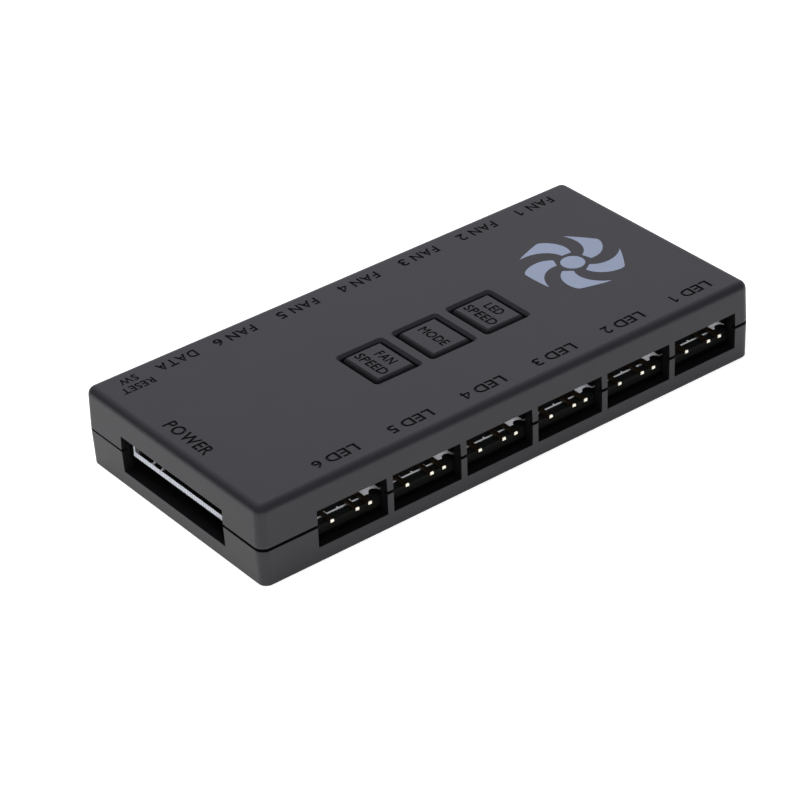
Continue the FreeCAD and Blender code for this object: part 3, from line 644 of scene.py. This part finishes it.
# Painted shade and painted highlight: the strips are near-black for the shade over the blade's top,
# and two of them carry a pale painted highlight.
contact_shade_and_highlight = plated("contact_shade_and_highlight", (0.06, 0.057, 0.053, 1.0), gloss=0.25, scale=1200.0,
                       stretch=(1.0, 5.0, 1.0))
add_effect(contact_shade_and_highlight, painted_highlight,
           {"Bright": (0.93, 0.93, 0.92, 1.0), "Metal": 0.95, "First": HIGHLIGHT_STRIPS[0],
            "Second": HIGHLIGHT_STRIPS[1], "Reach": HIGHLIGHT_REACH})
dress(contact_shade_and_highlight, "power_contacts")

# Buttons
# Three caps moulded in the plastic of the case, which slide in throats of the lid on the switches
# under them. Plain words of their use are sunk into each cap by the mould.

CAP_EDGE = 0.1 * MILLIMETRE
CAP_FADE = (0.22 * MILLIMETRE, 0.36 * MILLIMETRE)
# Painted shade: the walls and floors of the sunk words are a darker, less shiny plastic for the shade
# in them.
sunk_word_shade = moulded("sunk_word_shade", (0.0055, 0.0055, 0.006, 1.0), gloss=0.6, specular=0.25)
button_plastic = moulded("button_plastic", (0.0117, 0.0110, 0.0140, 1.0), gloss=0.4)
# Painted shade: below the top of each cap, its sides fade to near-black and matt where the throat
# shades them.
cap_limit = Vector((cad_box[1][0], cad_box[1][1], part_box("mode_button")[1].z))
add_effect(button_plastic, painted_inside_shade, {"Low": cad_box[0], "High": cap_limit,
                                         "Starts": CAP_FADE[0], "Full": CAP_FADE[1]})

WORD_DEPTH = 0.28 * MILLIMETRE
WORD_WEIGHT = 0.022
LETTER_GAP = 0.075
LETTER_HALF = 1.0
DRAWN_LETTERS = {
    "M": ([(0.051, -0.022), (0.051, 0.704), (0.176, 0.704), (0.391, 0.437), (0.608, 0.704),
           (0.731, 0.704), (0.731, -0.022), (0.589, -0.022), (0.589, 0.509), (0.391, 0.235),
           (0.193, 0.509), (0.193, -0.022)],),
    "T": ([(0.0, 0.572), (0.0, 0.704), (0.61, 0.704), (0.61, 0.572), (0.373, 0.572),
           (0.373, -0.022), (0.235, -0.022), (0.235, 0.572)],),
    "1": ([(0.3, 0.704), (0.18, 0.704), (0.0, 0.58), (0.0, 0.45), (0.18, 0.56), (0.18, -0.022),
           (0.3, -0.022)],),
    "4": ([(0.506, 0.704), (0.379, 0.704), (0.379, 0.537), (0.379, 0.246), (0.506, 0.246)],
          [(0.379, 0.704), (0.032, 0.246), (0.158, 0.246), (0.379, 0.537)],
          [(0.379, 0.246), (0.158, 0.246), (0.032, 0.246), (0.032, 0.136), (0.379, 0.136)],
          bar(0.379, 0.136, 0.506, 0.246), bar(0.506, 0.136, 0.6, 0.246),
          bar(0.379, -0.022, 0.506, 0.136))}


def letter_mesh(letter):
    """One letter or number as a closed form: drawn in panels, or a font's with heavier strokes."""
    if letter in DRAWN_LETTERS:
        work = bmesh.new()
        add_form(work, DRAWN_LETTERS[letter], -LETTER_HALF, LETTER_HALF)
        return plain_mesh(work, "letter")
    curve = bpy.data.curves.new("letter", "FONT")
    curve.body = letter
    curve.resolution_u = 3
    curve.extrude = LETTER_HALF
    curve.offset = WORD_WEIGHT
    holder = bring_in("letter", curve)
    made = holder.evaluated_get(bpy.context.evaluated_depsgraph_get())
    mesh = bpy.data.meshes.new_from_object(made)
    bpy.data.objects.remove(holder)
    bpy.data.curves.remove(curve)
    return mesh


def add_word(work, text, x, y, cap, width, toward_y, top):
    """Add a sunk word to a cutter by its middle, cap height and width; it reads toward -X or -Y."""
    word = bmesh.new()
    pen = 0.0
    for letter in text:
        mesh = letter_mesh(letter)
        edges = [point.co.x for point in mesh.vertices]
        mesh.transform(Matrix.Translation((pen - min(edges), 0.0, 0.0)))
        pen += max(edges) - min(edges) + LETTER_GAP
        word.from_mesh(mesh)
        bpy.data.meshes.remove(mesh)
    low = Vector([min(point.co[axis] for point in word.verts) for axis in range(3)])
    high = Vector([max(point.co[axis] for point in word.verts) for axis in range(3)])
    along = width * MILLIMETRE / (high.x - low.x)
    across = cap * MILLIMETRE / (high.y - low.y)
    shrink = Matrix.Diagonal((along, across, WORD_DEPTH, 1.0))
    turn = Matrix.Rotation(-math.pi / 2 if toward_y else math.pi, 4, "Z")
    place = Matrix.Translation((x * MILLIMETRE, y * MILLIMETRE, top))
    mesh = plain_mesh(word, "word")
    mesh.transform(place @ turn @ shrink @ Matrix.Translation(-(low + high) / 2.0))
    work.from_mesh(mesh)
    bpy.data.meshes.remove(mesh)


CUTTER_POINT = 0.0005 * MILLIMETRE


def sink(piece, work, floor):
    """Cut a piece with the closed forms of a cutter, whose walls and floor take the cutter's material.
    """
    bmesh.ops.remove_doubles(work, verts=work.verts, dist=CUTTER_POINT)
    bmesh.ops.recalc_face_normals(work, faces=work.faces)
    mesh = plain_mesh(work, "cutter")
    mesh.materials.append(floor)
    cutter = bring_in("cutter", mesh)
    carve = piece.modifiers.new("sunk", "BOOLEAN")
    carve.operation = "DIFFERENCE"
    carve.solver = "EXACT"
    carve.material_mode = "TRANSFER"
    carve.object = cutter
    settle(piece)
    bpy.data.objects.remove(cutter)
    return weld(piece)


BUTTON_WORDS = {"fan_speed": (("FAN", 4.4), ("SPEED", 7.8)), "mode": (("MODE", 6.9),),
                "led_speed": (("LED", 4.1), ("SPEED", 7.8))}
BUTTON_CAP = 2.0
LINE_SHIFT = 1.5
for key, lines in BUTTON_WORDS.items():
    low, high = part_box(f"{key}_button")
    middle = (low + high) / 2.0 / MILLIMETRE
    cap = finished_copy(f"{key}_button", f"{key}_cap", CAP_EDGE)
    cap.data.materials.append(button_plastic)
    cutter = bmesh.new()
    for line, (text, width) in enumerate(lines):
        shift = LINE_SHIFT * (len(lines) - 1 - 2 * line)
        add_word(cutter, text, middle.x + shift, middle.y, BUTTON_CAP, width, True, high.z)
    smooth(sink(cap, cutter, sunk_word_shade))
    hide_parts(f"{key}_button")
    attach(cap, f"{key}_key")

# Upper shell
# The moulded ABS lid: it drops over the lip of the tray and is drawn down by the screws. A plain
# word is sunk over each port, and a fan sign is pad-printed at the end away from the inlet.

SHARP_EDGE = 1.596 * MILLIMETRE
ROUND_DEPTH = 1.18 * MILLIMETRE
ROUND_GROWTH = 1.28
THROAT_RIM = Vector((4.95, 5.8)) * MILLIMETRE
THROAT_CORE = Vector((4.2, 5.05)) * MILLIMETRE
THROAT_SPREAD = 0.16 * MILLIMETRE
lid_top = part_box("upper_shell")[1].z


def soften(work):
    """Set the lid's rim back, its throats wider, and grow its rounded top edge about the sharp one."""
    set_back_rim(work, LID_RIM, 1.0)
    for key in KEYS:
        low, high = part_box(f"{key}_button")
        middle = (low + high) / 2.0
        for point in work.verts:
            away = point.co - middle
            if abs(away.x) < THROAT_RIM.x and abs(away.y) < THROAT_RIM.y:
                shift = past_core(away.x, away.y, THROAT_CORE).normalized() * THROAT_SPREAD
                point.co.x += math.copysign(shift.x, away.x)
                point.co.y += math.copysign(shift.y, away.y)
    for point in work.verts:
        x, y, z = point.co
        out = past_core(x, y, CASE_CORE)
        if z < lid_top - ROUND_DEPTH or out.length == 0.0:
            continue
        grown = (SHARP_EDGE + ROUND_GROWTH * (out.length - SHARP_EDGE)) * out.normalized()
        point.co.x = math.copysign(min(abs(x), CASE_CORE[0]) + grown.x, x)
        point.co.y = math.copysign(min(abs(y), CASE_CORE[1]) + grown.y, y)
        point.co.z = lid_top + ROUND_GROWTH * (z - lid_top)


lid = finished_copy("upper_shell", "lid", SHELL_EDGE, soften)
lid.data.materials.append(shell_plastic)
blacken_inside(lid)

# Each row of ports has its word, that word's width, the first middle, the pitch, the line's place
# across the lid, and how far the word and its number stand from the middle, all in millimetres.
FAN_LINE_Y, LED_LINE_Y = 20.8, -20.55
PORT_ROWS = (("FAN", 5.6, 42.175, 13.27, FAN_LINE_Y, 1.3, -3.5),
             ("LED", 6.2, 42.04, LED_PITCH / MILLIMETRE, LED_LINE_Y, 1.5, -3.4))
PORT_CAP, SMALL_CAP, POWER_CAP = 2.3, 1.9, 2.6
DIGIT_WIDTH = 1.6
ODD_DIGIT_WIDTHS = {"1": 0.95, "4": 1.8}
SINGLE_WORDS = (("DATA", -36.2, FAN_LINE_Y, PORT_CAP, 8.0, False),
                ("RESET", -45.6, 18.5, SMALL_CAP, 6.4, False),
                ("SW", -45.8, 21.2, SMALL_CAP, 3.5, False),
                ("POWER", -48.4, -0.3, POWER_CAP, 12.0, True))
words = bmesh.new()
for port in PORTS:
    digit = str(port)
    digit_width = ODD_DIGIT_WIDTHS.get(digit, DIGIT_WIDTH)
    for text, width, first_x, pitch, line_y, word_shift, digit_shift in PORT_ROWS:
        x = first_x - (port - 1) * pitch
        add_word(words, text, x + word_shift, line_y, PORT_CAP, width, False, lid_top)
        add_word(words, digit, x + digit_shift, line_y, PORT_CAP, digit_width, False, lid_top)
for text, x, y, cap_height, width, toward_y in SINGLE_WORDS:
    add_word(words, text, x, y, cap_height, width, toward_y, lid_top)
sink(lid, words, sunk_word_shade)

SIGN_MIDDLE = (34.1, 0.7)
SIGN_TURN = 0.3
HUB_RADIUS = 2.2
BLADES = 5
BLADE_ROOT = 3.0
FRONT_REACH, FRONT_SWEEP, FRONT_BEND = 6.4, 0.75, 1.3
BACK_REACH, BACK_SWEEP, BACK_BEND = 5.9, 0.6, 1.5
BACK_START = -0.62
TIP_SAG, TIP_SWEEP = 0.5, 0.78
FLANK_STEPS, TIP_STEPS, HUB_STEPS = 12, 8, 40
INK_FILM = 0.012 * MILLIMETRE
sign_ink = moulded("sign_ink", (0.200, 0.235, 0.322, 1.0), gloss=0.5, mottle=0.15)


def blade(turn):
    """The outline of one swept fan blade about the sign's middle: front flank, tip, back flank."""
    edge = []
    for step in range(FLANK_STEPS + 1):
        share = step / FLANK_STEPS
        edge.append((BLADE_ROOT + FRONT_REACH * share, turn + FRONT_SWEEP * share ** FRONT_BEND))
    for step in range(1, TIP_STEPS):
        share = step / TIP_STEPS
        edge.append((BLADE_ROOT + FRONT_REACH - TIP_SAG * math.sin(math.pi * share),
                     turn + FRONT_SWEEP - TIP_SWEEP * share))
    for step in range(FLANK_STEPS):
        share = 1.0 - step / FLANK_STEPS
        edge.append((BLADE_ROOT + BACK_REACH * share,
                     turn + BACK_START + BACK_SWEEP * share ** BACK_BEND))
    return [(SIGN_MIDDLE[0] + radius * math.cos(angle), SIGN_MIDDLE[1] + radius * math.sin(angle))
            for radius, angle in edge]


sign = bmesh.new()
blades = [blade(2.0 * math.pi * step / BLADES + SIGN_TURN) for step in range(BLADES)]
for outline in (*blades, disc(*SIGN_MIDDLE, HUB_RADIUS, HUB_STEPS)):
    add_form(sign, [in_metres(outline)], lid_top - INK_FILM, lid_top + INK_FILM)
sink(lid, sign, sign_ink)
smooth(lid)
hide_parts("upper_shell")
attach(lid, "case")

# Floor, light and camera
# A white paper sweep in a soft room that is brightest behind the object. One lamp above and one in
# front fill the shadows without showing in the gloss, and the camera has a long lens.

FLOOR_REACH = 4.0
FLOOR_HEIGHT = -0.02 * MILLIMETRE
SEEN_GLOW, GLOSSY_GLOW = 0.62, 0.15
floor_mesh = bpy.data.meshes.new("floor")
floor_corners = bar(-FLOOR_REACH, -FLOOR_REACH, FLOOR_REACH, FLOOR_REACH)
floor_mesh.from_pydata([(x, y, FLOOR_HEIGHT) for x, y in floor_corners], [], [(0, 1, 2, 3)])
floor = bring_in("floor", floor_mesh)
paper = new_finish("white_sweep", {"Base Color": (0.66, 0.66, 0.655, 1.0), "Roughness": 0.9,
                                   "Specular IOR Level": 0.0,
                                   "Emission Color": (1.0, 1.0, 1.0, 1.0)})
tree = paper.node_tree
path = tree.nodes.new("ShaderNodeLightPath")
seen = calculate(tree, "MULTIPLY", path.outputs["Is Camera Ray"], SEEN_GLOW)
glow = calculate(tree, "MULTIPLY_ADD", path.outputs["Is Glossy Ray"], GLOSSY_GLOW, seen)
feed(tree, glow, tree.nodes["Principled BSDF"].inputs["Emission Strength"])
floor_mesh.materials.append(paper)

BRIGHT_SIDE = (0.499, 0.682, 0.535)
ROOM_LIGHT = {"From Min": 0.48, "From Max": 0.95, "To Min": 0.13, "To Max": 0.78}
world = bpy.data.worlds.new("studio")
bpy.context.scene.world = world
world.use_nodes = True
tree = world.node_tree
room = tree.nodes["Background"]
room.inputs["Color"].default_value = (0.97, 0.955, 1.04, 1.0)
aim = tree.nodes.new("ShaderNodeTexCoord")
side = tree.nodes.new("ShaderNodeVectorMath")
side.operation = "DOT_PRODUCT"
side.inputs[1].default_value = BRIGHT_SIDE
feed(tree, aim.outputs["Generated"], side.inputs[0])
fall = tree.nodes.new("ShaderNodeMapRange")
for name, value in ROOM_LIGHT.items():
    fall.inputs[name].default_value = value
feed(tree, side.outputs["Value"], fall.inputs["Value"])
path = tree.nodes.new("ShaderNodeLightPath")
white = calculate(tree, "MAXIMUM", path.outputs["Is Camera Ray"], fall.outputs["Result"])
feed(tree, white, room.inputs["Strength"])


def soft_lamp(name, place, size, power):
    """A large square lamp that looks at the object and doesn't show in its gloss."""
    lamp = bpy.data.lights.new(name, "AREA")
    lamp.size = size
    lamp.energy = power
    holder = bring_in(name, lamp)
    holder.location = place
    holder.rotation_euler = (-Vector(place)).to_track_quat("-Z", "Y").to_euler()
    holder.visible_glossy = False


soft_lamp("overhead", (-0.15, 0.1, 0.7), size=0.5, power=4.5)
soft_lamp("front", (-0.25, -0.7, 0.35), size=0.4, power=5.2)

lens = bpy.data.cameras.new("camera")
lens.lens = 141.2
lens.sensor_width = 36.0
lens.sensor_fit = "HORIZONTAL"
lens.clip_start = 0.01
camera = bring_in("camera", lens)
across = Vector((0.7873318, -0.6146437, -0.0481857))
down = Vector((-0.3616731, -0.3971621, -0.8434778))
ahead = Vector((0.4993008, 0.6815244, -0.5349984))
stand = Vector((-0.2725066, -0.3644167, 0.2898037))
camera.matrix_world = Matrix((across, -down, -ahead)).transposed().to_4x4()
camera.matrix_world.translation = stand
bpy.context.scene.camera = camera
bpy.context.scene.view_settings.view_transform = "Standard"
